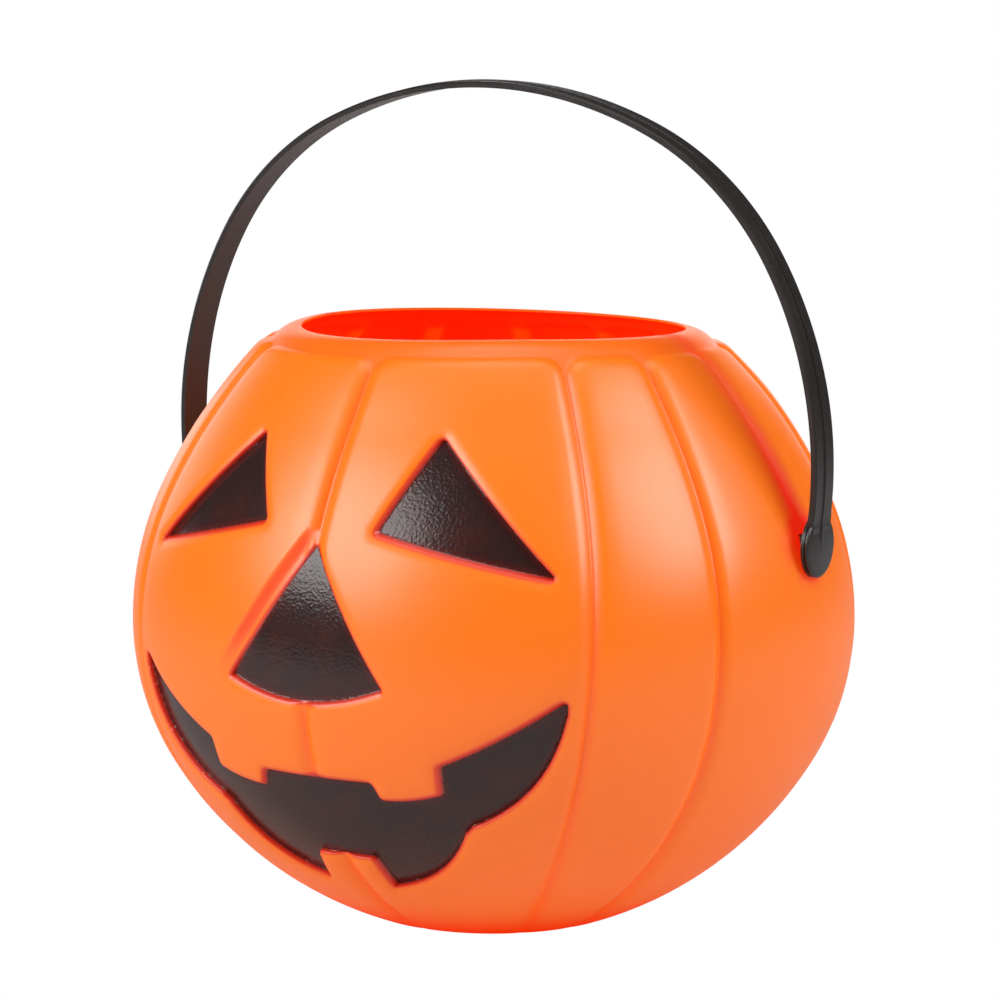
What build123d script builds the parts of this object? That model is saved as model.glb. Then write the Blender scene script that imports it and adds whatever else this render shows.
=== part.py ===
from build123d import *
import os
from math import asin, atan2, cos, degrees, radians, sin, sqrt, tan

# Pumpkin candy pail: a blow-moulded jack-o'-lantern shell with a sunk, black-painted face
# and a flat strap handle that snaps into a hole at each side.
# Millimetres. +Z is up, the face looks along -Y, and the origin is the middle of the base.

# Round body, measured on the raised panels: a sphere for the crown, a slightly larger sphere for
# the bowl with its centre higher up, a bend where they meet and a straight shoulder below the rim
crown_radius = 107.5
bowl_growth = 4.8
bowl_lift = 18.7
waist_bend_radius = 52.0
standing_radius = 41.9
crown_rise = 65.4
shoulder_rise = 23.1
wall = 1.5

# Plain collar that rolls over into the trimmed opening; the panels stand proud of it
lip_width = 6.5
collar_bend_radius = 12.0
collar_depth = 5.0
panel_raise = 3.2
panel_top_bevel = 2.0

# Sixteen panels with a V groove between neighbours
panel_count = 16
groove_depth = 1.9
groove_half_width = 3.4
eye_groove_places = (1, 15)
side_groove_places = (4, 12)

# Base: a standing ring with a dish pushed up inside it
standing_ring_width = 10.9
dish_slope_width = 4.0
dish_height = 2.5

# Face, sunk into the panels along the mould's opening direction and placed from the widest level
face_depth = 2.4
eye_inner_reach = 17.8
eye_width = 46.8
eye_foot_rise = 30.9
eye_height = 35.2
eye_brow_bulge = 0.9
eye_peak_share = 0.223
eye_inner_foot_share = 0.33
nose_half_width = 24.6
nose_foot_drop = 0.3
nose_height = 38.6
nose_sag = 4.6
mouth_half_width = 70.4
mouth_corner_drop = 2.1
mouth_height = 61.0
smile_bulge = 5.8
lower_lip_bulge = 3.6
# Half of the mouth from the middle of the upper lip round to the middle of the lower lip,
# as shares of the mouth's half width and height
upper_lip_shares = ((0.25, 0.597), (0.276, 0.507), (0.512, 0.551), (0.526, 0.698), (0.99, 1.0))
lower_lip_shares = ((0.58, 0.377), (0.165, 0.0), (0.132, 0.168))

# Paint coats on the face floors
paint_thickness = 0.2
paint_margin = 0.25
paint_bond_gap = 0.1

# Strap handle: its outer face runs up each side and over the top in tangent arcs
pivot_rise = 31.7
strap_width = 11.0
strap_thickness = 1.8
strap_edge_bevel = 0.5
strap_foot_rise = 6.5
strap_splay = 7.0
leg_bend_radius = 120.0
leg_bend_end = 30.0
shoulder_bend_radius = 88.0
shoulder_bend_end = 65.0
rib_width = 1.0
rib_height = 0.35

# Handle ends: a disc, a thrust collar, and a snap stud through the wall
disc_radius = 8.5
disc_thickness = 2.0
disc_edge_bevel = 0.4
disc_clearance = 0.35
collar_radius = 4.5
collar_clearance = 0.35
stud_radius = 3.0
stud_clearance = 0.3
head_radius = 4.2
head_tip_radius = 2.6
head_length = 2.4
head_clearance = 0.35

# Cuts run past the faces that they open by this much
overrun = 3.0

UPRIGHT = (Align.CENTER, Align.CENTER, Align.MIN)

os.makedirs("parts", exist_ok=True)


def save(shape, name):
    shape.label = name
    export_step(shape, f"parts/{name}.step")


# Levels that the rest is placed from
bowl_radius = crown_radius + bowl_growth
bowl_centre_height = sqrt(bowl_radius**2 - standing_radius**2)
crown_centre_height = bowl_centre_height - bowl_lift
crown_turn = degrees(asin(crown_rise / crown_radius))
pail_height = crown_centre_height + crown_rise + shoulder_rise
pivot_height = crown_centre_height + pivot_rise
eye_foot_height = crown_centre_height + eye_foot_rise
nose_foot_height = crown_centre_height - nose_foot_drop
mouth_foot_height = crown_centre_height - mouth_corner_drop - mouth_height
dish_radius = standing_radius - standing_ring_width


# Body arcs, foot to top: centre, radius, first and last angle from level
def along(centre, length, angle):
    return (centre[0] + length * cos(radians(angle)), centre[1] + length * sin(radians(angle)))


def angle_to(start, end):
    return degrees(atan2(end[1] - start[1], end[0] - start[0]))


bowl_centre = (0, bowl_centre_height)
crown_centre = (0, crown_centre_height)
bowl_span = bowl_radius - waist_bend_radius
crown_span = crown_radius - waist_bend_radius
centre_drop = crown_centre_height - bowl_centre_height
waist_rise = (bowl_span**2 - crown_span**2) / (2 * centre_drop) + centre_drop / 2
waist_centre = (sqrt(bowl_span**2 - waist_rise**2), bowl_centre_height + waist_rise)
waist_start = angle_to(bowl_centre, waist_centre)
waist_end = angle_to(crown_centre, waist_centre)


def body_arcs(inset, foot):
    bowl_start = degrees(asin((foot - bowl_centre_height) / (bowl_radius - inset)))
    return (
        (bowl_centre, bowl_radius - inset, bowl_start, waist_start),
        (waist_centre, waist_bend_radius - inset, waist_start, waist_end),
        (crown_centre, crown_radius - inset, waist_end, crown_turn),
    )


def shoulder_length(inset, top):
    """Length of the straight shoulder along its slope, from the crown to a level."""
    start = along(crown_centre, crown_radius - inset, crown_turn)
    return (top - start[1]) / cos(radians(crown_turn))


def shoulder_radius(level, inset):
    start = along(crown_centre, crown_radius - inset, crown_turn)
    return start[0] - (level - start[1]) * tan(radians(crown_turn))


def crown_radius_at(level, inset):
    return sqrt((crown_radius - inset) ** 2 - (level - crown_centre_height) ** 2)


def round_body(inset, foot, top, top_round=0, top_bevel=0):
    """The body's solid of revolution, inset from the panel surface, between two levels."""
    edges = [CenterArc(c, r, start, end - start) for c, r, start, end in body_arcs(inset, foot)]
    shoulder_end = (shoulder_radius(top, inset), top)
    edges.append(Polyline(edges[-1] @ 1, shoulder_end, (0, top), (0, foot), edges[0] @ 0))
    outline = make_face(edges)
    corner = outline.vertices().sort_by_distance(shoulder_end)[0]
    if top_round:
        outline = fillet(corner, top_round)
    if top_bevel:
        outline = chamfer(corner, top_bevel)
    return revolve(Plane.XZ * outline, Axis.Z)


def groove_run(inset, foot, top, place):
    """V cutters along one meridian: a pair of cones round each arc, then a straight wedge."""
    reach = groove_half_width * (groove_depth + overrun) / groove_depth
    azimuth = Rot(Z=place * 360 / panel_count - 90)
    cutters = []
    for centre, radius, start, end in body_arcs(inset, foot):
        outer = radius + overrun
        vee = make_face(Polyline((outer, reach), (radius - groove_depth, 0), (outer, -reach), close=True))
        run = revolve(Rot(Y=-start) * vee, Axis((0, 0, 0), (0, -1, 0)), end - start)
        cutters.append(azimuth * Pos(centre[0], 0, centre[1]) * run)
    wedge = extrude(vee, shoulder_length(inset, top) + overrun)
    cutters.append(azimuth * Pos(Z=crown_centre_height) * Rot(Y=-crown_turn) * wedge)
    return cutters


# Face outlines, drawn as seen from the front: local x is the object's X and local y its Z
def eye_outline(side):
    inner_foot = (eye_inner_reach, eye_foot_height + eye_height * eye_inner_foot_share)
    peak = (eye_inner_reach + eye_width * eye_peak_share, eye_foot_height + eye_height)
    outer = (eye_inner_reach + eye_width, eye_foot_height)
    brow = SagittaArc(peak, outer, eye_brow_bulge)
    eye = make_face([Polyline(outer, inner_foot, peak), brow])
    return eye if side > 0 else mirror(eye, Plane.YZ)


def nose_outline():
    left = (-nose_half_width, nose_foot_height)
    right = (nose_half_width, nose_foot_height)
    sag = ThreePointArc(left, (0, nose_foot_height - nose_sag), right)
    return make_face([Polyline(left, (0, nose_foot_height + nose_height), right), sag])


def mouth_point(shares):
    return (mouth_half_width * shares[0], mouth_foot_height + mouth_height * shares[1])


def mouth_outline():
    upper = [mouth_point(shares) for shares in upper_lip_shares]
    lower = [mouth_point(shares) for shares in lower_lip_shares]
    smile = SagittaArc(upper[-1], lower[0], smile_bulge)
    lower_lip = SagittaArc(lower[0], lower[1], lower_lip_bulge)
    upper_lip = Polyline((0, lower[-1][1]), (0, upper[0][1]), *upper)
    tooth = Polyline(*lower[1:], (0, lower[-1][1]))
    half = make_face([upper_lip, smile, lower_lip, tooth])
    return half + mirror(half, Plane.YZ)


face_outlines = {
    "left_eye": eye_outline(-1),
    "right_eye": eye_outline(1),
    "nose": nose_outline(),
    "mouth": mouth_outline(),
}


def face_prism(outline, growth):
    """An outline grown all round and run forward from the middle of the body."""
    corners = Kind.INTERSECTION if growth > 0 else Kind.ARC
    grown = offset(outline, growth, kind=corners) if growth else outline
    return extrude(Plane.XZ * grown, crown_radius + overrun)


def side_groove(inset, top, place):
    """A groove from the collar that stops at the handle's pivot."""
    span = 2 * (crown_radius + overrun)
    above = Pos(Z=pivot_height) * Box(span, span, span, align=UPRIGHT)
    runs = groove_run(inset, inset, top, place)
    return [run & above for run in runs if run.bounding_box().max.Z > pivot_height]


# Pumpkin form at a given inset: its outside at zero, its hollow at the wall thickness
def pumpkin_form(inset):
    top = pail_height - inset
    panel_top = pail_height - collar_depth - inset
    core = round_body(inset + panel_raise, inset, top, top_round=collar_bend_radius - inset)
    panels = round_body(inset, inset, panel_top, top_bevel=panel_top_bevel)
    form = core + panels

    cutters = []
    for place in range(panel_count):
        if place in eye_groove_places:
            continue
        if place in side_groove_places:
            cutters += side_groove(inset, panel_top, place)
        else:
            cutters += groove_run(inset, inset, panel_top, place)
    sunk = round_body(inset + face_depth, inset, top)
    for outline in face_outlines.values():
        cutters.append(face_prism(outline, inset) - sunk)
    slope = Cone(dish_radius + inset, dish_radius - dish_slope_width + inset, dish_height, align=UPRIGHT)
    cutters.append(Pos(Z=inset) * slope)
    for cutter in cutters:
        form -= cutter
    return form


# Shell: outside less hollow, with the trimmed opening and the two stud holes
shell = pumpkin_form(0) - pumpkin_form(wall)
opening_radius = shoulder_radius(pail_height, panel_raise) - lip_width
shell -= Pos(Z=pail_height) * Cylinder(opening_radius, 2 * collar_bend_radius)
stud_axis = Pos(Z=pivot_height) * Rot(Y=90)
shell -= stud_axis * Cylinder(stud_radius + stud_clearance, 2 * (crown_radius + overrun))
save(shell, "pumpkin_shell")

# Paint coats: thin films that follow the sunk floors just inside their edges
paint_floor = round_body(face_depth - paint_bond_gap, 0, pail_height)
paint_cover = round_body(face_depth - paint_bond_gap - paint_thickness, 0, pail_height)
paint_layer = paint_cover - paint_floor
for feature, outline in face_outlines.items():
    save(face_prism(outline, -paint_margin) & paint_layer, f"{feature}_paint")


# Strap: arcs of one half from its foot to the top, mirrored, then given its width
disc_seat_radius = crown_radius_at(pivot_height - disc_radius, 0)
handle_half_span = disc_seat_radius + disc_clearance + disc_thickness
foot_point = (handle_half_span, pivot_height + strap_foot_rise)
leg_lean = radians(strap_splay)
leg_centre = (
    foot_point[0] - leg_bend_radius * cos(leg_lean),
    foot_point[1] + leg_bend_radius * sin(leg_lean),
)
leg_turn = radians(leg_bend_end)
shoulder_centre = (
    leg_centre[0] + (leg_bend_radius - shoulder_bend_radius) * cos(leg_turn),
    leg_centre[1] + (leg_bend_radius - shoulder_bend_radius) * sin(leg_turn),
)
top_bend_radius = shoulder_bend_radius + shoulder_centre[0] / cos(radians(shoulder_bend_end))
top_centre = along(shoulder_centre, shoulder_bend_radius - top_bend_radius, shoulder_bend_end)
strap_bends = (
    (leg_centre, leg_bend_radius, -strap_splay, leg_bend_end),
    (shoulder_centre, shoulder_bend_radius, leg_bend_end, shoulder_bend_end),
    (top_centre, top_bend_radius, shoulder_bend_end, 90),
)


def strap_band(rise, depth, width):
    """A band over the whole arch, from rise above the outer face to depth below it."""
    outer = [CenterArc(c, r + rise, start, end - start) for c, r, start, end in strap_bends]
    inner = [CenterArc(c, r - depth, start, end - start) for c, r, start, end in strap_bends]
    ends = [Line(outer[0] @ 0, inner[0] @ 0), Line(outer[-1] @ 1, inner[-1] @ 1)]
    half = make_face(outer + inner + ends)
    return extrude(Plane.XZ * (half + mirror(half, Plane.YZ)), width / 2, both=True)


strap = strap_band(0, strap_thickness, strap_width)
outer_edges = [
    edge
    for edge in strap.edges()
    if abs(abs(edge.center().Y) - strap_width / 2) < strap_edge_bevel and edge.length > strap_width
]
strap = chamfer(outer_edges, strap_edge_bevel)
strap += strap_band(rib_height, strap_thickness / 2, rib_width)


def handle_end(side):
    """Disc, thrust collar and snap stud on one end of the strap, pointing at the axis."""
    disc = Cylinder(disc_radius, disc_thickness, align=UPRIGHT)
    disc = chamfer(disc.edges().group_by(Axis.Z)[0], disc_edge_bevel)
    collar_seat_radius = crown_radius_at(pivot_height - collar_radius, 0)
    collar_end = handle_half_span - collar_seat_radius - collar_clearance
    collar = Cylinder(collar_radius, collar_end, align=UPRIGHT)
    ridge_radius = crown_radius_at(pivot_height + head_radius, wall + groove_depth)
    head_start = handle_half_span - ridge_radius + head_clearance
    stud = Cylinder(stud_radius, head_start, align=UPRIGHT)
    head = Pos(Z=head_start) * Cone(head_radius, head_tip_radius, head_length, align=UPRIGHT)
    end = disc + collar + stud + head
    return Pos(side * handle_half_span, 0, pivot_height) * Rot(Y=-90 * side) * end


save(strap + handle_end(1) + handle_end(-1), "strap_handle")
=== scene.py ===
import math

import bpy
import numpy as np
from mathutils import Matrix, Vector
from mathutils.geometry import delaunay_2d_cdt


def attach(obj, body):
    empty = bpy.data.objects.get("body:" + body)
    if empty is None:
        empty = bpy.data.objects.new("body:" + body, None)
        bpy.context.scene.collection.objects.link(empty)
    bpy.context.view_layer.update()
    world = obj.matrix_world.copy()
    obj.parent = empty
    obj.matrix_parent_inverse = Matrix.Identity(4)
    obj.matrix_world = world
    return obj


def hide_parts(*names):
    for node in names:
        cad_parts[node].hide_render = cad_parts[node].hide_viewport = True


# Pumpkin candy pail, in metres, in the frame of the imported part: +Z up, face towards -Y.
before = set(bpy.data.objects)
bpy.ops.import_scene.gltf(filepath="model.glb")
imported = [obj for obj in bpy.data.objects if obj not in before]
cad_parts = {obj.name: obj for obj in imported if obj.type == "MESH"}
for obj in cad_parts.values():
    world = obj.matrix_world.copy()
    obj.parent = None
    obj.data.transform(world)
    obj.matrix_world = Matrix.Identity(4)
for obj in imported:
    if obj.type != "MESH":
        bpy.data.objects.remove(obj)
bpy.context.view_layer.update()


# Shell: one blow-moulded pumpkin in orange polyethylene, hollow, with a rolled collar and a trimmed opening.
# Its skin is a meridian of tangent arcs turned round Z. The panels stand proud of the grooves between them,
# and the eyes, nose and mouth are sunk into the front along the mould's opening direction.
WALL = 0.0015
PANEL_RAISE = 0.0019
GROOVE_REACH = 0.0048
CORNER_REACH = 0.0065
PANEL_TOP_DEPTH = 0.0026
FACE_DEPTH = 0.0024
HOLE_RADIUS = 0.0033
PIVOT_HEIGHT = 0.11719

# Meridian on the panel surface: arcs from the foot to the opening, each tangent to the next
EQUATOR = 0.0870
UPPER_RADIUS, UPPER_TURN = 0.0930, math.radians(25)
CROWN_RADIUS = 0.1530
LOWER_RADIUS, LOWER_TURN = 0.0780, math.radians(-30)
BOWL_RADIUS = 0.1120
BODY_RADIUS = 0.1075
COLLAR_RADIUS = 0.0100
COLLAR_TURN = math.radians(46.5)
upper = np.array([BODY_RADIUS - UPPER_RADIUS, EQUATOR])
lower = np.array([BODY_RADIUS - LOWER_RADIUS, EQUATOR])


def turned(angle):
    return np.array([math.cos(angle), math.sin(angle)])


crown = upper + (UPPER_RADIUS - CROWN_RADIUS) * turned(UPPER_TURN)
bowl = lower + (LOWER_RADIUS - BOWL_RADIUS) * turned(LOWER_TURN)
collar = crown + (CROWN_RADIUS - PANEL_RAISE - COLLAR_RADIUS) * turned(COLLAR_TURN)
BASE_TURN = math.asin(-bowl[1] / BOWL_RADIUS)
PANEL_TOP_TURN = COLLAR_TURN - 0.09
ROW_STEP, FINE_STEP = 0.0026, 0.0009
# Centre, radius, first turn, last turn, and the step between rows of points
ARCS = (
    (bowl, BOWL_RADIUS, BASE_TURN, LOWER_TURN, ROW_STEP),
    (lower, LOWER_RADIUS, LOWER_TURN, 0.0, ROW_STEP),
    (upper, UPPER_RADIUS, 0.0, UPPER_TURN, ROW_STEP),
    (crown, CROWN_RADIUS, UPPER_TURN, PANEL_TOP_TURN, ROW_STEP),
    (crown, CROWN_RADIUS, PANEL_TOP_TURN, COLLAR_TURN, FINE_STEP),
    (collar, COLLAR_RADIUS + PANEL_RAISE, COLLAR_TURN, math.pi / 2, FINE_STEP),
)
rows = []
run = 0.0
for centre, radius, first, last, step in ARCS:
    count = max(1, round(radius * (last - first) / step))
    for k in range(count):
        turn = first + (last - first) * k / count
        rows.append((centre[0], centre[1], radius, turn, run + radius * (turn - first)))
    run += radius * (last - first)
rows.append((collar[0], collar[1], COLLAR_RADIUS + PANEL_RAISE, math.pi / 2, run))
ROW_R, ROW_Z, ROW_ARC, ROW_TURN, ROW_RUN = np.array(rows).T
row_radius = ROW_R + ROW_ARC * np.cos(ROW_TURN)
row_height = ROW_Z + ROW_ARC * np.sin(ROW_TURN)
rim_height = row_height[-1] - PANEL_RAISE
top_run = np.interp(rim_height - PANEL_TOP_DEPTH, row_height, ROW_RUN)

# Groove places round the body, from the front; the two that the eyes take are left out, and the four
# front ones lean in towards the foot
PITCH = 22.5
GROOVES = [k * PITCH for k in range(-8, 8) if abs(k) != 1]
LEANS = {2: 1.4, 3: 0.5}
LEAN_TURN, LEAN_TOP, LEAN_POWER = 6.0, 0.170, 1.4


def groove_turn(place, height):
    lean = 0.0
    step = round(abs(place) / PITCH)
    if step in LEANS:
        lean = LEANS[step] - LEAN_TURN * np.clip(1 - height / LEAN_TOP, 0, 1) ** LEAN_POWER
    return np.radians(place + np.sign(place) * lean)


# Columns keep a set distance from each groove, so that every groove has the same width from rim to foot
NEAR = np.array([0.0, 0.0003, 0.0007, 0.0012, 0.0018, 0.0026, 0.0035, 0.0046])
PANEL_STEPS, WIDE_PANEL_STEPS = 6, 15
columns = []
for k, place in enumerate(GROOVES):
    after = GROOVES[k + 1] if k + 1 < len(GROOVES) else GROOVES[0] + 360
    start = groove_turn(place, row_height)
    end = groove_turn(after, row_height) if after < 180 else np.radians(after) + 0 * row_height
    near = [start + d / row_radius for d in NEAR]
    far = [end - d / row_radius for d in NEAR[:0:-1]]
    gaps = WIDE_PANEL_STEPS if after - place > 1.5 * PITCH else PANEL_STEPS
    middle = [near[-1] + (far[0] - near[-1]) * k / gaps for k in range(1, gaps)]
    columns += near + middle + far
turn_at = np.array(columns).T


def smooth(value, low, high):
    t = np.clip((value - low) / (high - low), 0, 1)
    return t * t * (3 - 2 * t)


# The fold over each pivot is shallow and broad, and runs out just below the disc
SIDE_FOLD_LIFT, SIDE_FOLD_SPREAD, SIDE_FOLD_END = 0.0024, 0.5, 0.02
SIDE_FOLD_FADE = (PIVOT_HEIGHT + 0.008, PIVOT_HEIGHT - 0.012)
VALLEY_FLAT = 0.0002
FOOT_FADE, FOOT_HEIGHT = 0.95, 0.012


def panel_share(turn, height, radius, run):
    """How far a point stands up on its panel: 0 in a groove's valley and on the collar, 1 on the panel."""
    side = np.full(turn.shape, 1.0)
    for place in GROOVES:
        away = np.abs((turn - groove_turn(place, height) + math.pi) % (2 * math.pi) - math.pi) * radius
        if abs(place) == 4 * PITCH:
            away = SIDE_FOLD_LIFT + away * SIDE_FOLD_SPREAD + SIDE_FOLD_END * smooth(height, *SIDE_FOLD_FADE)
        side = np.minimum(side, np.maximum(away - VALLEY_FLAT, 0))
    below = np.maximum(top_run - run, 0)
    corner = (side < CORNER_REACH) & (below < CORNER_REACH)
    rounded = CORNER_REACH - np.hypot(CORNER_REACH - side, CORNER_REACH - below)
    reach = np.where(corner, np.maximum(rounded, 0), np.minimum(side, below))
    sunk = (1 - np.clip(reach / GROOVE_REACH, 0, 1)) ** 2
    return 1 - sunk * (1 - FOOT_FADE * smooth(height, FOOT_HEIGHT, 0.0))


# Face outlines as seen from the front: corners with the length cut off each to round it, and the bulge of
# the side that follows
def outline(corners, step=0.0009):
    points = []
    for k, (x, z, cut, bulge) in enumerate(corners):
        here = np.array([x, z])
        before, after = (np.array(corners[(k + s) % len(corners)][:2]) for s in (-1, 1))
        into = (before - here) / np.linalg.norm(before - here)
        out = (after - here) / np.linalg.norm(after - here)
        for t in np.linspace(0, 1, 7):
            points.append(here + into * cut * (1 - t) ** 2 + out * cut * t**2)
        start, end = here + out * cut, after - out * corners[(k + 1) % len(corners)][2]
        count = max(2, round(np.linalg.norm(end - start) / step))
        across = np.array([out[1], -out[0]])
        for t in np.arange(1, count) / count:
            points.append(start + (end - start) * t + across * bulge * 4 * t * (1 - t))
    return np.array(points)


def mirrored(corners):
    """The same corners on the other side, still taken round the same way."""
    bulges = [corner[3] for corner in corners[::-1]]
    turned_bulges = bulges[1:] + bulges[:1]
    return [(-x, z, cut, bulge) for (x, z, cut, _), bulge in zip(corners[::-1], turned_bulges)]


RIGHT_EYE = [
    (0.0278, 0.1530, 0.0024, 0.0),
    (0.0166, 0.1275, 0.0018, 0.0),
    (0.0654, 0.1156, 0.0036, 0.0004),
]
LEFT_EYE = [
    (-0.0184, 0.1280, 0.0018, 0.0),
    (-0.0292, 0.1505, 0.0014, 0.0003),
    (-0.0648, 0.1164, 0.0012, 0.0),
]
NOSE = [
    (-0.0001, 0.1240, 0.0014, 0.0),
    (-0.0260, 0.0848, 0.0016, 0.0046),
    (0.0242, 0.0852, 0.0016, 0.0),
]
RIGHT_MOUTH = [
    (0.0093, 0.0324, 0.0014, 0.0),
    (0.0100, 0.0217, 0.0010, 0.0038),
    (0.0402, 0.0441, 0.0016, 0.0054),
    (0.0690, 0.0788, 0.0003, 0.0),
    (0.0694, 0.0838, 0.0026, -0.0010),
    (0.0370, 0.0645, 0.0010, 0.0),
    (0.0361, 0.0556, 0.0018, -0.0005),
    (0.0193, 0.0528, 0.0016, 0.0),
    (0.0176, 0.0584, 0.0016, 0.0),
]
# The left half is its mirror image but for two sides that the mould cut a little differently
LEFT_MOUTH = mirrored(RIGHT_MOUTH)
LEFT_MOUTH[5] = (-0.0690, 0.0788, 0.0003, 0.0045)
LEFT_MOUTH[7] = (-0.0114, 0.0222, 0.0010, 0.0)
FACE = {
    "left_eye_paint": outline(LEFT_EYE),
    "right_eye_paint": outline(RIGHT_EYE),
    "nose_paint": outline(NOSE),
    "mouth_paint": outline(RIGHT_MOUTH + LEFT_MOUTH),
}


# The inner skin follows the face loosely: its sunk fields are wider by this many wall thicknesses
INNER_SPREAD = 5
# Distances are worked out on this part of the front only, and no further than FAR from an outline
FACE_REACH, FACE_FOOT, FACE_TOP = 0.085, 0.010, 0.165
FAR = -0.020


def depth_inside(points, loop):
    """Distance of points from an outline, above zero inside it."""
    start, end = loop, np.roll(loop, -1, axis=0)
    nearest = np.full(len(points), 1.0)
    crossings = np.zeros(len(points), int)
    for a, b in zip(start, end):
        side = b - a
        t = np.clip((points - a) @ side / max(side @ side, 1e-18), 0, 1)
        nearest = np.minimum(nearest, np.hypot(*(points - a - t[:, None] * side).T))
        spans = (a[1] > points[:, 1]) != (b[1] > points[:, 1])
        rise = side[1] if side[1] else 1e-18
        crossings += spans & (points[:, 0] < a[0] + (points[:, 1] - a[1]) / rise * side[0])
    return np.where(crossings % 2 == 1, nearest, -nearest)


def face_depth(x, z):
    """Distance inside the nearest face outline, and which outline that is."""
    points = np.column_stack([x.ravel(), z.ravel()])
    close = (np.abs(points[:, 0]) < FACE_REACH) & (points[:, 1] > FACE_FOOT) & (points[:, 1] < FACE_TOP)
    depths = np.full((len(FACE), len(points)), FAR)
    for k, loop in enumerate(FACE.values()):
        depths[k, close] = depth_inside(points[close], loop)
    return np.clip(depths.max(0), FAR, -FAR).reshape(x.shape), depths.argmax(0).reshape(x.shape)


NOSE_FOLD_START, NOSE_FOLD_FOOT = (0.0, 0.004), (0.082, 0.100)


def nose_side(x, height, feature):
    """1 along the left side of the nose, where the shoulder is a fold, and 0 elsewhere."""
    on_nose = feature == list(FACE).index("nose_paint")
    return on_nose * smooth(-x, *NOSE_FOLD_START) * smooth(height, *NOSE_FOLD_FOOT)


SHOULDER_REACH, SHOULDER_SHARE = 0.0036, 0.40
FOLD_REACH, FOLD_SHARE = (-0.0056, -0.0018), 0.85
STEEP_REACH = (-0.0003, 0.0006)


def sunk_share(depth, fold):
    """Share of the face's full depth: a soft shoulder or a fold outside the outline, then a steep wall."""
    share = SHOULDER_SHARE + (FOLD_SHARE - SHOULDER_SHARE) * fold
    shoulder = np.clip(1 + depth / SHOULDER_REACH, 0, 1) ** 2
    outer = shoulder * (1 - fold) + smooth(depth, *FOLD_REACH) * fold
    return share * outer + (1 - share) * smooth(depth, *STEEP_REACH)


RIM_LIFT, RIM_SLOPE, RIM_SAG = 0.0006, 0.05, 0.0024
RIM_RADIUS, RIM_BEND = 0.057, (0.152, 0.174)
SAG_LEFT, SAG_LEFT_REACH = np.array([-0.87, -0.49]), (-0.3, 1.0)
SAG_NEAR, SAG_NEAR_REACH = np.array([0.49, -0.87]), (-0.9, 0.5)


def tilted(points):
    """The trimmed rim isn't level: it rises towards the face and sags at its left front."""
    points = points.copy()
    left, near = (points[..., :2] @ way / RIM_RADIUS for way in (SAG_LEFT, SAG_NEAR))
    sag = RIM_SAG * smooth(left, *SAG_LEFT_REACH) * smooth(near, *SAG_NEAR_REACH)
    lift = RIM_LIFT - RIM_SLOPE * points[..., 1] - sag
    points[..., 2] += lift * smooth(points[..., 2], *RIM_BEND)
    return points


FRONT_COSINE, LEAST_FACING = 0.3, 0.4


def skin(turn, centre_r, centre_z, arc, pitch, run, inset):
    """Points of the shell's skin, and how far each lies inside the face and in a groove."""
    radius, height = centre_r + arc * np.cos(pitch), centre_z + arc * np.sin(pitch)
    share = panel_share(turn, height, radius, run)
    rise = -PANEL_RAISE * (1 - share) - inset
    across = centre_r + (arc + rise) * np.cos(pitch)
    level = centre_z + (arc + rise) * np.sin(pitch)
    points = np.stack([across * np.sin(turn), -across * np.cos(turn), level], -1)
    x, y = radius * np.sin(turn), -radius * np.cos(turn)
    depth, feature = face_depth(x, height)
    depth = np.where(np.cos(turn) > FRONT_COSINE, depth, FAR)
    facing = np.maximum(np.cos(pitch) * np.cos(turn), LEAST_FACING)
    floor = np.stack([x, y + (FACE_DEPTH + inset) / facing, height + 0 * turn], -1)
    sunk = sunk_share(depth + INNER_SPREAD * inset, nose_side(x, height, feature))[..., None]
    return tilted(points * (1 - sunk) + floor * sunk), depth, feature, 1 - share


# Grid of the whole skin, from the middle of the base up the outside, over the rim and down the inside
BASE_RINGS = ((0.0270, 0.0025), (0.0310, 0.0), (0.0395, 0.0))
OPENING_RADIUS = 0.0568
LIP_WALL, LIP_RUN = 0.0007, 0.012
INNER_FOLD_TOP = (0.002, 0.008)
shape = turn_at.shape
ROWS = np.stack([ROW_R, ROW_Z, ROW_ARC, ROW_TURN, ROW_RUN])[:, :, None] + np.zeros((1, 1, shape[1]))
outside = skin(turn_at, *ROWS, 0.0)
inner_rows = np.arange(shape[0] - 1, -1, -2)
inner_wall = LIP_WALL + (WALL - LIP_WALL) * smooth(ROW_RUN[-1] - ROW_RUN[inner_rows], 0.0, LIP_RUN)
inner = skin(turn_at[inner_rows], *ROWS[:, inner_rows], inner_wall[:, None])


def ring(radius, height, turn):
    return np.stack([radius * np.sin(turn), -radius * np.cos(turn), height + 0 * turn], -1)


base = [ring(r, z, turn_at[0]) for r, z in BASE_RINGS]
lip = [tilted(ring(OPENING_RADIUS, rim_height - drop, turn_at[-1])) for drop in (0.0, LIP_WALL)]
inner_base = [ring(r + WALL, z + WALL, turn_at[0]) for r, z in BASE_RINGS[::-1]]
grid = np.concatenate([np.array(base), outside[0], np.array(lip), inner[0], np.array(inner_base)])
sunk_at, valley_at, inside_at = (np.full(grid.shape[:2], value) for value in (FAR, 0.0, 0.0))
outer_part = slice(len(base), len(base) + len(outside[0]))
inner_start = outer_part.stop + len(lip)
inner_part = slice(inner_start, inner_start + len(inner[0]))
sunk_at[outer_part] = outside[1]
valley_at[outer_part] = outside[3]
valley_at[inner_part] = inner[3] * smooth(top_run - ROW_RUN[inner_rows], *INNER_FOLD_TOP)[:, None]
inside_at[outer_part.stop : inner_start] = 0.5
inside_at[inner_start:] = 1.0
vertices = list(grid.reshape(-1, 3))
sunk_values, valley_values, inside_values = (list(v.ravel()) for v in (sunk_at, valley_at, inside_at))
wide = shape[1]

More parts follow.
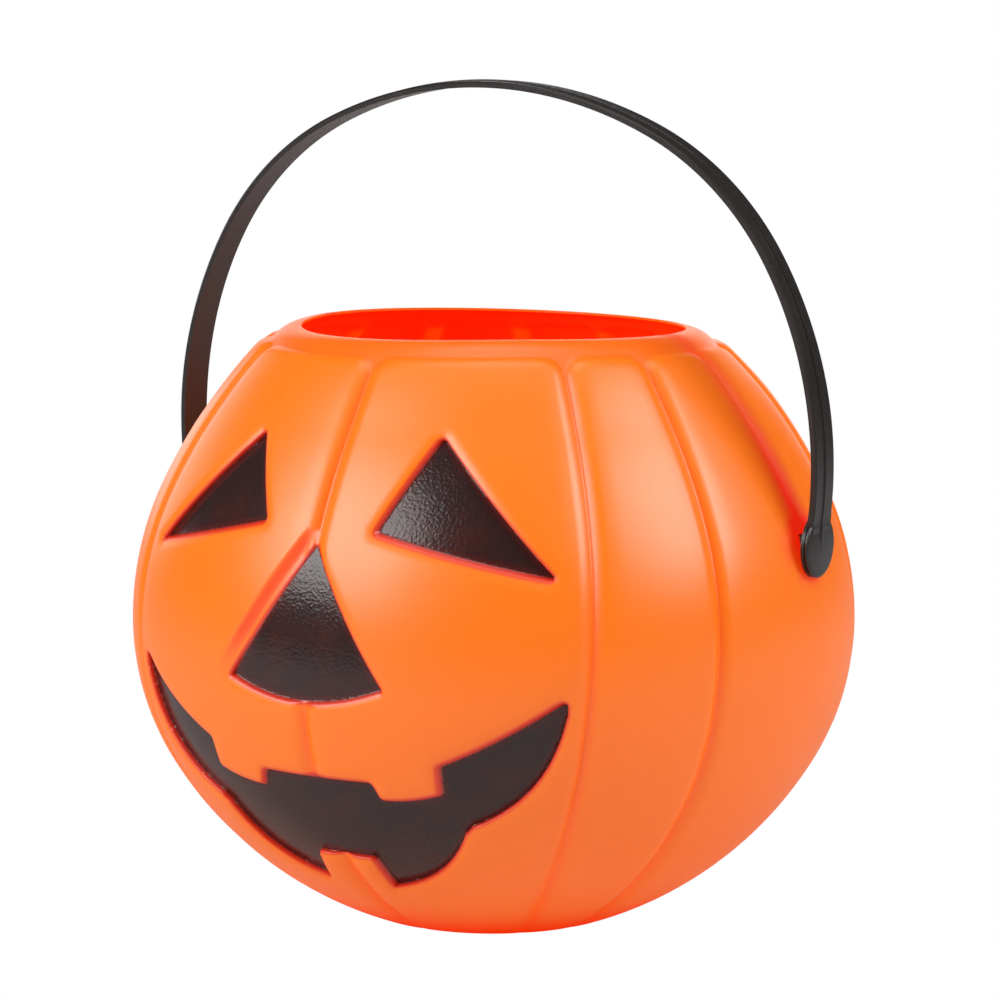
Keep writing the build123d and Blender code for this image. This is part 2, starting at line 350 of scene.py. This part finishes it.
# The front of the grid is taken out and filled with triangles that follow the face outlines
BLOCK_TURN = math.radians(57)
BLOCK_FOOT, BLOCK_TOP = 0.0130, 0.1600
waist = int(np.argmin(np.abs(row_height - EQUATOR)))
first_column = int(np.argmin(np.abs(turn_at[waist] + BLOCK_TURN)))
last_column = int(np.argmin(np.abs(turn_at[waist] - BLOCK_TURN)))
first_row = int(np.argmin(np.abs(row_height - BLOCK_FOOT)))
last_row = int(np.argmin(np.abs(row_height - BLOCK_TOP)))
flat_x = row_radius[:, None] * np.sin(turn_at)
flat_z = np.broadcast_to(row_height[:, None], shape)
border = [(first_row, c) for c in range(first_column, last_column)]
border += [(r, last_column) for r in range(first_row, last_row)]
border += [(last_row, c) for c in range(last_column, first_column, -1)]
border += [(r, first_column) for r in range(last_row, first_row, -1)]
flat = [(flat_x[r, c], flat_z[r, c]) for r, c in border]
CONTOURS = (
    -0.0036, -0.0029, -0.0022, -0.0016, -0.0011, -0.0007, -0.0003, -0.0001,
    0.0001, 0.0003, 0.0005, 0.0008, 0.0013, 0.0020,
)
FOLD_CONTOURS, FOLD_LEAST = (-0.0060, -0.0054, -0.0048, -0.0042), 0.1
CONTOUR_GAP, CONTOUR_SLACK = 0.0004, 0.00006
LATTICE, LATTICE_EDGE = 0.0006, 0.0002
PAINT_EDGE = 0.0005
block_rows, block_columns = slice(first_row + 1, last_row), slice(first_column + 1, last_column)
depth = outside[1][block_rows, block_columns]
kept = np.zeros(shape, bool)
kept[block_rows, block_columns] = (depth < CONTOURS[0] - CONTOUR_GAP) | (depth > CONTOURS[-1] + CONTOUR_GAP)
places = {spot: k for k, spot in enumerate(border)}
for r, c in np.argwhere(kept):
    places[r, c] = len(flat)
    flat.append((flat_x[r, c], flat_z[r, c]))
seams = []
for (r, c), k in places.items():
    if (r + 1, c) in places and first_column < c < last_column:
        seams.append((k, places[r + 1, c]))
for loop in FACE.values():
    along = np.roll(loop, -1, axis=0) - np.roll(loop, 1, axis=0)
    along /= np.linalg.norm(along, axis=1)[:, None]
    inward = np.column_stack([-along[:, 1], along[:, 0]])
    for level in CONTOURS + FOLD_CONTOURS:
        moved = loop + inward * level
        true_depth, feature = face_depth(moved[:, 0], moved[:, 1])
        wanted = np.abs(true_depth - level) < CONTOUR_SLACK
        if level in FOLD_CONTOURS:
            wanted &= nose_side(moved[:, 0], moved[:, 1], feature) > FOLD_LEAST
        flat += [tuple(p) for p in moved[wanted]]
    across, along = (np.arange(loop[:, k].min(), loop[:, k].max(), LATTICE) for k in (0, 1))
    lattice = np.stack(np.meshgrid(across, along), -1).reshape(-1, 2)
    true_depth, _ = face_depth(lattice[:, 0], lattice[:, 1])
    flat += [tuple(p) for p in lattice[(true_depth > LATTICE_EDGE) & (true_depth < CONTOURS[-1])]]
# The filling is worked out in millimetres, and points closer than MERGE_GAP are made one
MILLI, MERGE_GAP = 1000, 0.05
placed, _, triangles, origins, _, _ = delaunay_2d_cdt(
    [Vector((x * MILLI, z * MILLI)) for x, z in flat], seams, [list(range(len(border)))], 1, MERGE_GAP
)
flat = np.array([tuple(p) for p in placed]) / MILLI
ends = [(c[1] + r * math.sin(last), c, r, first, last) for c, r, first, last, _ in ARCS[:4]]
spot = np.zeros((len(flat), 5))
low, run = -1.0, 0.0
for top, centre, radius, first, last in ends:
    here = (flat[:, 1] > low) & ((flat[:, 1] <= top) | (top == ends[-1][0]))
    pitch = np.arcsin((flat[here, 1] - centre[1]) / radius)
    spot[here, :3] = centre[0], centre[1], radius
    spot[here, 3:] = np.column_stack([pitch, run + radius * (pitch - first)])
    low, run = top, run + radius * (last - first)
turn = np.arcsin(np.clip(flat[:, 0] / (spot[:, 0] + spot[:, 2] * np.cos(spot[:, 3])), -1, 1))
front = skin(turn, *spot.T, 0.0)
number = []
for k, origin in enumerate(origins):
    edge = [n for n in origin if n < len(border)]
    if edge:
        r, c = border[edge[0]]
        number.append((len(base) + r) * wide + c)
    else:
        number.append(len(vertices))
        vertices.append(front[0][k])
        sunk_values.append(front[1][k])
        valley_values.append(front[3][k])
        inside_values.append(0.0)
vertices = np.array(vertices)

# Painted red shade and painted glow in the fold above each disc, round the disc, at the foot and in the fold
# beside the nose: this mask turns the base colour red and raises the red emission
SIDE_GLOW_START, SIDE_GLOW_WIDTH = (PIVOT_HEIGHT - 0.004, PIVOT_HEIGHT + 0.004), 0.0075
SIDE_GLOW_LOSS, SIDE_GLOW_FADE = 0.55, (0.125, 0.165)
DISC_GLOW_FADE = (0.0075, 0.0125)
FOOT_GLOW, FOOT_GLOW_HEIGHT = 0.7, 0.014
NOSE_GLOW, NOSE_GLOW_OUTER, NOSE_GLOW_INNER = 0.6, (-0.0054, -0.0042), (-0.0010, -0.0022)
level, side = vertices[:, 2], np.abs(np.arctan2(vertices[:, 0], -vertices[:, 1]))
seam = np.abs(side - math.pi / 2) * np.hypot(vertices[:, 0], vertices[:, 1])
from_pivot = np.hypot(vertices[:, 1], level - PIVOT_HEIGHT)
painted_red_shade_glow = smooth(level, *SIDE_GLOW_START) * (1 - SIDE_GLOW_LOSS * smooth(level, *SIDE_GLOW_FADE))
painted_red_shade_glow = painted_red_shade_glow * (1 - smooth(seam, 0.0, SIDE_GLOW_WIDTH))
painted_red_shade_glow = np.maximum(painted_red_shade_glow, 1 - smooth(from_pivot, *DISC_GLOW_FADE))
painted_red_shade_glow = np.maximum(painted_red_shade_glow, FOOT_GLOW * (1 - smooth(level, 0.0, FOOT_GLOW_HEIGHT)))
depth, feature = face_depth(vertices[:, 0], level)
beside_nose = nose_side(vertices[:, 0], level, feature) * (vertices[:, 1] < 0)
in_fold = smooth(depth, *NOSE_GLOW_OUTER) * smooth(depth, *NOSE_GLOW_INNER)
painted_red_shade_glow = np.maximum(painted_red_shade_glow, NOSE_GLOW * beside_nose * in_fold)

# Quads of the grid outside the front block, with a round hole for the stud at each side
pierced = from_pivot < HOLE_RADIUS
faces = [tuple(number[v] for v in triangle) for triangle in triangles]
hole_edge = set()
for r in range(len(grid) - 1):
    for c in range(wide):
        in_rows = len(base) + first_row <= r < len(base) + last_row
        if in_rows and first_column <= c < last_column:
            continue
        after = (c + 1) % wide
        quad = (r * wide + c, r * wide + after, (r + 1) * wide + after, (r + 1) * wide + c)
        if any(pierced[v] for v in quad):
            hole_edge.update(v for v in quad if not pierced[v])
        else:
            faces.append(quad)
for v in hole_edge:
    offset = vertices[v, 1:] - (0, PIVOT_HEIGHT)
    vertices[v, 1:] = (0, PIVOT_HEIGHT) + offset * HOLE_RADIUS / np.linalg.norm(offset)
faces.append(tuple(range(wide - 1, -1, -1)))
faces.append(tuple(range((len(grid) - 1) * wide, len(grid) * wide)))
used = sorted({v for face in faces for v in face})
renumber = {v: k for k, v in enumerate(used)}
shell_mesh = bpy.data.meshes.new("pumpkin_shell_skin")
kept_faces = [tuple(renumber[v] for v in face) for face in faces]
shell_mesh.from_pydata([tuple(vertices[v]) for v in used], [], kept_faces)
tints = {"sunk": sunk_values, "valley": valley_values, "inside": inside_values, "painted_red_shade_glow": painted_red_shade_glow}
for name, values in tints.items():
    layer = shell_mesh.attributes.new(name, "FLOAT", "POINT")
    layer.data.foreach_set("value", np.array(values, np.float32)[used])
shell_mesh.shade_smooth()
shell_mesh.set_sharp_from_angle(angle=math.radians(60))
shell = bpy.data.objects.new("moulded_shell", shell_mesh)
bpy.context.collection.objects.link(shell)


class Sockets:
    """A node output that takes part in sums, so that shader maths reads as a formula."""

    def __init__(self, tree, output):
        self.tree, self.output = tree, output

    def node(self, kind, sockets=(), pick=0, **settings):
        """Adds a node of a kind, with its settings and sockets, and returns one of its outputs."""
        made = self.tree.nodes.new(kind)
        for name, value in settings.items():
            setattr(made, name, value)
        for name, value in dict(sockets).items():
            if isinstance(value, Sockets):
                self.tree.links.new(value.output, made.inputs[name])
            else:
                made.inputs[name].default_value = value
        return Sockets(self.tree, made.outputs[pick])

    def sum(self, operation, *values):
        return self.node("ShaderNodeMath", enumerate(values), operation=operation)

    def __add__(self, other):
        return self.sum("ADD", self, other)

    def __sub__(self, other):
        return self.sum("SUBTRACT", self, other)

    def __rsub__(self, other):
        return self.sum("SUBTRACT", other, self)

    def __mul__(self, other):
        return self.sum("MULTIPLY", self, other)

    __radd__, __rmul__ = __add__, __mul__

    def ramp(self, low, high):
        """0 below low, 1 above high and smooth between."""
        sockets = {"Value": self, "From Min": low, "From Max": high}
        return self.node("ShaderNodeMapRange", sockets, interpolation_type="SMOOTHSTEP")

    def mix(self, low, high):
        """The colour low where this is 0 and high where it is 1."""
        sockets = {"Factor": self, 6: low, 7: high}
        return self.node("ShaderNodeMix", sockets, 2, data_type="RGBA")


def material(name):
    """A new material, its surface node and a start for its formulas."""
    made = bpy.data.materials.new(name)
    made.use_nodes = True
    return made, made.node_tree.nodes["Principled BSDF"], Sockets(made.node_tree, None)


def set_surface(surface, start, **sockets):
    for name, value in sockets.items():
        socket = surface.inputs[name.replace("_", " ")]
        if isinstance(value, Sockets):
            start.tree.links.new(value.output, socket)
        else:
            socket.default_value = value


# Orange polyethylene: satin and a little cloudy. Its emission is painted glow standing in for light that
# passes through the thin wall:
# deep orange, and red in the folds, inside and round the sunk face, where the black paint's edge fades out;
# its base colour carries painted shade in the same places.
ORANGE = (0.66, 0.172, 0.001, 1)
DEEP_ORANGE = (0.70, 0.090, 0.001, 1)
RED = (0.30, 0.006, 0.0, 1)
EDGE_RED = (0.55, 0.045, 0.005, 1)
WALL_RED = (0.42, 0.020, 0.009, 1)
BLACK = (0.014, 0.007, 0.007, 1)
PAINTED_GLOW_ORANGE = (0.45, 0.050, 0.0, 1)
PAINTED_GLOW_RED = (0.75, 0.012, 0.0, 1)
PAINTED_GLOW_EDGE = (0.30, 0.006, 0.0, 1)
PAINTED_GLOW_INSIDE = (0.60, 0.006, 0.0, 1)
PAINTED_GLOW_INSIDE_FOLD = (0.65, 0.034, 0.0, 1)
NO_LIGHT = (0.0, 0.0, 0.0, 1)
# Distances inside a face outline over which one colour turns into the next
RED_EDGE, RED_WALL = (-0.0014, -0.0003), (-0.0003, 0.0002)
BLACK_FLOOR, DARK_FLOOR = (0.0003, 0.0007), (-0.0001, 0.0005)
orange, surface, start = material("orange_polyethylene")
valley = start.node("ShaderNodeAttribute", pick="Fac", attribute_name="valley")
sunk = start.node("ShaderNodeAttribute", pick="Fac", attribute_name="sunk")
inside = start.node("ShaderNodeAttribute", pick="Fac", attribute_name="inside")
painted_red_shade_glow = start.node("ShaderNodeAttribute", pick="Fac", attribute_name="painted_red_shade_glow")
place = start.node("ShaderNodeTexCoord", pick="Object")
cloud = start.node("ShaderNodeTexNoise", {"Vector": place, "Scale": 24.0, "Detail": 3.0})
grain = start.node("ShaderNodeTexNoise", {"Vector": place, "Scale": 900.0, "Detail": 2.0})
# Painted shade: deeper orange in the grooves and on the inside; the cloud adds random tone.
tone = (valley.ramp(0.2, 1.0) * 0.5 + cloud * 0.2 + inside * 0.6).mix(ORANGE, DEEP_ORANGE)
# Painted shade: red in the folds above the discs, round the discs, at the foot and beside the nose.
tone = painted_red_shade_glow.mix(tone, RED)
# Red-orange on the shoulder round each sunk field: partly the paint's thin edge, partly painted shade.
tone = sunk.ramp(*RED_EDGE).mix(tone, EDGE_RED)
# Painted shade: the unpainted wall of each sunk field shows red.
tone = sunk.ramp(*RED_WALL).mix(tone, WALL_RED)
colour = sunk.ramp(*BLACK_FLOOR).mix(tone, BLACK)
# Painted glow in the emission: lighter on the inside folds, red in the outer folds, dimmer round the sunk
# face and none under the paint.
hollow = valley.ramp(0.0, 0.5).mix(PAINTED_GLOW_INSIDE, PAINTED_GLOW_INSIDE_FOLD)
painted_glow = inside.mix(painted_red_shade_glow.mix(PAINTED_GLOW_ORANGE, PAINTED_GLOW_RED), hollow)
painted_glow = sunk.ramp(*RED_EDGE).mix(painted_glow, PAINTED_GLOW_EDGE)
painted_glow = sunk.ramp(*DARK_FLOOR).mix(painted_glow, NO_LIGHT)
relief = start.node("ShaderNodeBump", {"Height": grain, "Strength": 0.06, "Distance": 0.0004})
set_surface(
    surface, start, Base_Color=colour, Roughness=0.32 + cloud * 0.10 + painted_red_shade_glow * 0.3, Normal=relief,
    Emission_Color=painted_glow, Emission_Strength=1.0, Specular_IOR_Level=0.8,
    Subsurface_Weight=0.12, Subsurface_Radius=(1.0, 0.25, 0.08), Subsurface_Scale=0.004,
)
shell_mesh.materials.append(orange)
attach(shell, "pail")
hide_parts("pumpkin_shell")

# Paint coats: black gloss sprayed on the floor of each sunk field, over the mould's pebbled skin.
# Each coat is the floor's own triangles, lifted off it by the thickness of the paint.
PAINT_LIFT, EDGE_SLACK = 0.00006, 0.00004
PAINT = (0.030, 0.013, 0.012, 1)
THIN_PAINT = (0.12, 0.012, 0.009, 1)
THIN_EDGE = (0.0005, 0.0024)
black, surface, start = material("black_gloss_paint")
place = start.node("ShaderNodeTexCoord", pick="Object")
pebble = start.node("ShaderNodeTexNoise", {"Vector": place, "Scale": 1100.0, "Detail": 1.5, "Roughness": 0.5})
dust = start.node("ShaderNodeTexNoise", {"Vector": place, "Scale": 60.0, "Detail": 3.0})
sunk = start.node("ShaderNodeAttribute", pick="Fac", attribute_name="sunk")
thin = 1 - sunk.ramp(*THIN_EDGE)
colour = (thin * 0.6 + dust.ramp(0.45, 0.75) * 0.25).mix(PAINT, THIN_PAINT)
relief = start.node("ShaderNodeBump", {"Height": pebble, "Strength": 0.22, "Distance": 0.0005})
set_surface(
    surface, start, Base_Color=colour, Roughness=0.16 + dust * 0.10, Normal=relief, Specular_IOR_Level=0.5,
)
coat_points = front[0] - (0, PAINT_LIFT, 0)
for k, name in enumerate(FACE):
    painted = (front[1] > PAINT_EDGE - EDGE_SLACK) & (front[2] == k)
    floor = [triangle for triangle in triangles if all(painted[v] for v in triangle)]
    used = sorted({v for triangle in floor for v in triangle})
    renumber = {v: n for n, v in enumerate(used)}
    mesh = bpy.data.meshes.new(name + "_film")
    film = [tuple(renumber[v] for v in triangle) for triangle in floor]
    mesh.from_pydata([tuple(coat_points[v]) for v in used], [], film)
    layer = mesh.attributes.new("sunk", "FLOAT", "POINT")
    layer.data.foreach_set("value", front[1][used].astype(np.float32))
    mesh.shade_smooth()
    mesh.materials.append(black)
    coat = bpy.data.objects.new(name + "_coat", mesh)
    bpy.context.collection.objects.link(coat)
    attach(coat, "pail")
    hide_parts(name)

# Strap handle: one flexible black moulding with a rib down its outer face. A disc at each end lies against
# the shell, and a stud behind it snaps through the wall.
STRAP_WIDTH = 0.0110
STRAP_THICKNESS = 0.0018
STRAP_BEVEL = 0.0005
RIB_WIDTH, RIB_FOOT, RIB_HEIGHT = 0.0010, 0.0014, 0.00035
HALF_SPAN = 0.10730
DISC_PROFILE = (
    (0.0, 0.0), (0.0080, 0.0), (0.0087, 0.0002), (0.0091, 0.0006), (0.0091, 0.0010), (0.0087, 0.0011),
    (0.0087, 0.0013), (0.0091, 0.0014), (0.0091, 0.0024), (0.0055, 0.0026), (0.0050, 0.0040),
    (0.0030, 0.0042), (0.0030, 0.0104), (0.0042, 0.0104), (0.0026, 0.0128), (0.0, 0.0128),
)
# The strap's outer line: straight at its root on the disc, then three bends up to the middle, in degrees
ROOT_RISE, ROOT_INSET, ROOT_LEAN = 0.0065, 0.00025, 0.0004
LEG_BEND_RADIUS, LEG_START, LEG_END = 0.120, -7, 30
SHOULDER_BEND_RADIUS, SHOULDER_END = 0.088, 65
BEND_STEP = 0.75
foot = np.array([HALF_SPAN, PIVOT_HEIGHT + ROOT_RISE])
leg = foot - LEG_BEND_RADIUS * turned(math.radians(LEG_START))
shoulder = leg + (LEG_BEND_RADIUS - SHOULDER_BEND_RADIUS) * turned(math.radians(LEG_END))
top_radius = SHOULDER_BEND_RADIUS + shoulder[0] / math.cos(math.radians(SHOULDER_END))
top = shoulder + (SHOULDER_BEND_RADIUS - top_radius) * turned(math.radians(SHOULDER_END))
BENDS = (
    (leg, LEG_BEND_RADIUS, LEG_START, LEG_END),
    (shoulder, SHOULDER_BEND_RADIUS, LEG_END, SHOULDER_END),
    (top, top_radius, SHOULDER_END, 90),
)
path = []
for share in (-0.1, 0.2, 0.4, 0.55, 0.7, 0.8, 0.9):
    path.append(((HALF_SPAN - ROOT_INSET + ROOT_LEAN * share, PIVOT_HEIGHT + ROOT_RISE * share), 0.0))
for centre, radius, first, last in BENDS:
    for angle in np.radians(np.arange(first, last, BEND_STEP)):
        path.append((centre + radius * turned(angle), angle))
path.append((top + top_radius * turned(math.pi / 2), math.pi / 2))
path += [((-p[0], p[1]), math.pi - angle) for p, angle in path[-2::-1]]
half = STRAP_WIDTH / 2
SECTION = (
    (-half, STRAP_THICKNESS), (-half, STRAP_BEVEL), (STRAP_BEVEL - half, 0.0), (-RIB_FOOT / 2, 0.0),
    (-RIB_WIDTH / 2, -RIB_HEIGHT), (RIB_WIDTH / 2, -RIB_HEIGHT), (RIB_FOOT / 2, 0.0),
    (half - STRAP_BEVEL, 0.0), (half, STRAP_BEVEL), (half, STRAP_THICKNESS),
)
# The strap widens down its legs, and flares where it joins the disc
FLARE, FLARE_RISE, FLARE_LENGTH = 0.08, 0.0070, 0.0020
LEG_SPREAD, LEG_SPREAD_FADE = 0.10, (PIVOT_HEIGHT + 0.080, PIVOT_HEIGHT + 0.030)
points, faces = [], []
for p, angle in path:
    out = turned(angle)
    spread = 1 + FLARE * math.exp(-(((p[1] - PIVOT_HEIGHT - FLARE_RISE) / FLARE_LENGTH) ** 2))
    spread += LEG_SPREAD * smooth(p[1], *LEG_SPREAD_FADE)
    for y, deep in SECTION:
        flared = y * spread if abs(y) > RIB_WIDTH else y
        points.append((p[0] - deep * out[0], flared, p[1] - deep * out[1]))
n = len(SECTION)
for k in range(len(path) - 1):
    for s in range(n):
        faces.append((k * n + s, k * n + (s + 1) % n, (k + 1) * n + (s + 1) % n, (k + 1) * n + s))
faces += [tuple(range(n - 1, -1, -1)), tuple(range((len(path) - 1) * n, len(path) * n))]
SPOKES = 64
for side in (1, -1):
    first = len(points)
    for r, deep in DISC_PROFILE:
        for k in range(SPOKES):
            angle = 2 * math.pi * k / SPOKES
            y, z = side * r * math.cos(angle), PIVOT_HEIGHT + r * math.sin(angle)
            points.append((side * (HALF_SPAN - deep), y, z))
    for ringed in range(len(DISC_PROFILE) - 1):
        for k in range(SPOKES):
            after = (k + 1) % SPOKES
            a, b = first + ringed * SPOKES, first + (ringed + 1) * SPOKES
            faces.append((a + k, b + k, b + after, a + after))
handle_mesh = bpy.data.meshes.new("strap_handle_skin")
handle_mesh.from_pydata(points, [], faces)
handle_mesh.validate()
handle_mesh.shade_smooth()
handle_mesh.set_sharp_from_angle(angle=math.radians(32))
handle = bpy.data.objects.new("strap_handle_moulding", handle_mesh)
bpy.context.collection.objects.link(handle)
STRAP_BLACK = (0.016, 0.013, 0.012, 1)
STRAP_GREY = (0.026, 0.021, 0.019, 1)
dark, surface, start = material("black_polyethylene")
place = start.node("ShaderNodeTexCoord", pick="Object")
grain = start.node("ShaderNodeTexNoise", {"Vector": place, "Scale": 1200.0, "Detail": 2.0})
wear = start.node("ShaderNodeTexNoise", {"Vector": place, "Scale": 90.0, "Detail": 3.0})
relief = start.node("ShaderNodeBump", {"Height": grain, "Strength": 0.10, "Distance": 0.0004})
set_surface(
    surface, start, Base_Color=wear.mix(STRAP_BLACK, STRAP_GREY), Roughness=0.30 + wear * 0.08,
    Normal=relief, Specular_IOR_Level=0.5,
)
handle_mesh.materials.append(dark)
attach(handle, "handle")
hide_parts("strap_handle")

# Studio: a plain pale floor that the camera sees as white, as it does the world behind it, with soft boxes
# at the left, right, back and top, and the camera at the photograph's viewpoint.
FLOOR_REACH = 3.0
PALE, WHITE, SKY = (0.60, 0.60, 0.60, 1), (1, 1, 1, 1), (0.06, 0.06, 0.06, 1)
floor_mesh = bpy.data.meshes.new("floor_plane")
corners = [(FLOOR_REACH * x, FLOOR_REACH * y, 0) for x, y in ((-1, -1), (1, -1), (1, 1), (-1, 1))]
floor_mesh.from_pydata(corners, [], [(0, 1, 2, 3)])
floor = bpy.data.objects.new("floor", floor_mesh)
bpy.context.collection.objects.link(floor)
pale, surface, start = material("pale_floor")
set_surface(surface, start, Base_Color=PALE, Roughness=0.9)
seen = start.node("ShaderNodeLightPath", pick="Is Camera Ray")
plain = start.node("ShaderNodeEmission", {"Color": WHITE, "Strength": 1.0})
lit = Sockets(pale.node_tree, surface.outputs[0])
shown = start.node("ShaderNodeMixShader", {0: seen, 1: lit, 2: plain})
start.tree.links.new(shown.output, pale.node_tree.nodes["Material Output"].inputs["Surface"])
floor_mesh.materials.append(pale)

world = bpy.data.worlds.new("studio")
bpy.context.scene.world = world
world.use_nodes = True
start = Sockets(world.node_tree, None)
seen = start.node("ShaderNodeLightPath", pick="Is Camera Ray")
sky = seen.mix(SKY, WHITE)
world.node_tree.links.new(sky.output, world.node_tree.nodes["Background"].inputs["Color"])

AIM = Vector((0, 0, 0.10))


def soft_box(name, place, width, height, power):
    light = bpy.data.lights.new(name, "AREA")
    light.shape, light.size, light.size_y, light.energy = "RECTANGLE", width, height, power
    box = bpy.data.objects.new(name, light)
    box.location = place
    box.rotation_mode = "QUATERNION"
    box.rotation_quaternion = (AIM - Vector(place)).to_track_quat("-Z", "Y")
    box.visible_camera = False
    bpy.context.collection.objects.link(box)


soft_box("box_right", (0.97, 0.17, 0.79), 0.7, 0.7, 9)
soft_box("box_left", (-0.43, -0.91, 0.72), 0.9, 0.70, 11.5)
soft_box("box_back", (-0.80, 0.95, 0.28), 1.8, 0.45, 4)
soft_box("box_top", (0.0, 0.0, 1.30), 0.8, 0.8, 3)

camera_data = bpy.data.cameras.new("camera")
camera_data.sensor_width = 36
camera_data.lens = 138.9
camera_data.clip_start, camera_data.clip_end = 0.05, 20
camera = bpy.data.objects.new("camera", camera_data)
bpy.context.collection.objects.link(camera)
ahead = Vector((-0.487086, 0.857205, -0.167170))
right = Vector((0.869440, 0.494038, 0.0))
up = right.cross(ahead)
facing = Matrix((right, up, -ahead)).transposed().to_4x4()
camera.matrix_world = Matrix.Translation((0.560948, -0.983461, 0.313495)) @ facing
bpy.context.scene.camera = camera
bpy.context.scene.view_settings.view_transform = "Standard"
